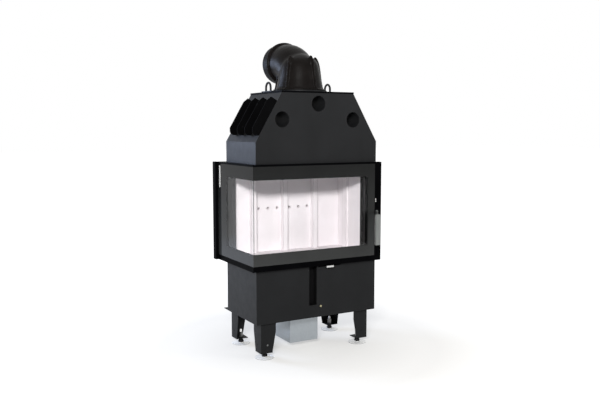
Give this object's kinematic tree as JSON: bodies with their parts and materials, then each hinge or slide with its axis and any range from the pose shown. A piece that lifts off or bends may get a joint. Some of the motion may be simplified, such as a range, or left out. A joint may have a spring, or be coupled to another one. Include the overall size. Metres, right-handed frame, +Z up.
{
  "type": "corner fireplace firebox",
  "caption": "Corner fireplace firebox on levelling legs: L-shaped glass door, ceramic-lined chamber, sloping hood with air tubes and cooling fins, swivelling flue elbow.",
  "frame": {"origin": "centre of the footprint at the bottom of the levelling feet", "axes": "+X to the right seen from the front, +Y to the back, +Z up; the door's large pane faces -Y and its side pane faces -X"},
  "size_m": [0.696, 0.4782, 1.4711],
  "materials": {
    "body_steel": "matt heat-resistant paint",
    "cast_iron": "sand-cast, dark stove paint",
    "ceramic_glass": "clear ceramic glass with a dark printed border",
    "fin_black": "matt black paint",
    "fire_lining": "matt white fired board",
    "frame_black": "satin black paint",
    "galvanised": "galvanised sheet",
    "satin_steel": "satin brushed",
    "zinc": "bright zinc plate"
  },
  "bodies": {
    "firebox": {"air_box": "galvanised", "air_duct_right": "body_steel", "air_spigot": "galvanised", "air_tube_left": "body_steel", "air_tube_middle": "body_steel", "air_tube_right": "body_steel", "baffle_plate": "fire_lining", "base_casing": "body_steel", "base_floor_plate": "body_steel", "casing_screw": "zinc", "chamber_shell": "body_steel", "cooling_fin_1": "fin_black", "cooling_fin_2": "fin_black", "cooling_fin_3": "fin_black", "cooling_fin_4": "fin_black", "flue_seat_ring": "body_steel", "hinge_bracket_lower": "body_steel", "hinge_bracket_upper": "body_steel", "hood_shell": "body_steel", "leg_front_left": "body_steel", "leg_front_right": "body_steel", "leg_nut_front_left": "zinc", "leg_nut_front_right": "zinc", "leg_nut_rear_left": "zinc", "leg_nut_rear_right": "zinc", "leg_rear_left": "body_steel", "leg_rear_right": "body_steel", "lifting_eye_left": "body_steel", "lifting_eye_right": "body_steel", "lining_back_1": "fire_lining", "lining_back_2": "fire_lining", "lining_back_3": "fire_lining", "lining_back_4": "fire_lining", "lining_floor": "fire_lining", "lining_pilaster_left": "fire_lining", "lining_pilaster_middle": "fire_lining", "lining_pilaster_right": "fire_lining", "lining_right": "fire_lining", "recess_liner": "body_steel", "top_plate": "body_steel"},
    "door": {"door_bottom_rail": "frame_black", "door_top_rail": "frame_black", "door_hinge_stile": "frame_black", "door_closing_stile": "frame_black", "front_glass": "ceramic_glass", "side_glass": "ceramic_glass"},
    "handle": {"door_handle": "satin_steel", "latch_cam": "zinc"},
    "lever": {"air_lever": "satin_steel"},
    "flap": {"damper_flap": "galvanised"},
    "flue_outlet": {"flue_elbow": "cast_iron", "flue_collar": "cast_iron"},
    "ash_pan": {"ash_pan": "galvanised"},
    "grate": {"grate": "cast_iron"},
    "foot_front_left": {"foot_front_left": "zinc"},
    "foot_front_right": {"foot_front_right": "zinc"},
    "foot_rear_left": {"foot_rear_left": "zinc"},
    "foot_rear_right": {"foot_rear_right": "zinc"}
  },
  "joints": [
    {"name": "door_swing", "type": "hinge", "parent": "firebox", "child": "door", "pos_m": [-0.322, 0.21655, 0.6555], "axis": [0, 0, -1], "range_deg": [0, 90]},
    {"name": "handle_turn", "type": "hinge", "parent": "door", "child": "handle", "pos_m": [0.3182, -0.18405, 0.655], "axis": [0, 1, 0], "range_deg": [0, 80]},
    {"name": "air_lever_slide", "type": "slide", "parent": "firebox", "child": "lever", "axis": [1, 0, 0], "range_m": [-0.025, 0.06]},
    {"name": "damper_flap_turn", "type": "hinge", "parent": "firebox", "child": "flap", "pos_m": [-0.0043, 0.12225, 0.1], "axis": [1, 0, 0], "range_deg": [-26.5, 63.56]},
    {"name": "flue_swivel", "type": "hinge", "parent": "firebox", "child": "flue_outlet", "pos_m": [0.0137, 0.02295, 1.2296], "axis": [0, 0, 1], "continuous": true},
    {"name": "ash_pan_lift", "type": "slide", "parent": "firebox", "child": "ash_pan", "axis": [0, 0, 1], "range_m": [0, 0.09]},
    {"name": "grate_lift", "type": "slide", "parent": "ash_pan", "child": "grate", "axis": [0, 0, 1], "range_m": [0, 0.12]},
    {"name": "foot_level_front_left", "type": "slide", "parent": "firebox", "child": "foot_front_left", "axis": [0, 0, -1], "range_m": [0, 0.015]},
    {"name": "foot_level_front_right", "type": "slide", "parent": "firebox", "child": "foot_front_right", "axis": [0, 0, -1], "range_m": [0, 0.015]},
    {"name": "foot_level_rear_left", "type": "slide", "parent": "firebox", "child": "foot_rear_left", "axis": [0, 0, -1], "range_m": [0, 0.015]},
    {"name": "foot_level_rear_right", "type": "slide", "parent": "firebox", "child": "foot_rear_right", "axis": [0, 0, -1], "range_m": [0, 0.015]}
  ],
  "couplings": [
    {"joint": "damper_flap_turn", "follows": "air_lever_slide", "rad_per_m": 18.48}
  ]
}
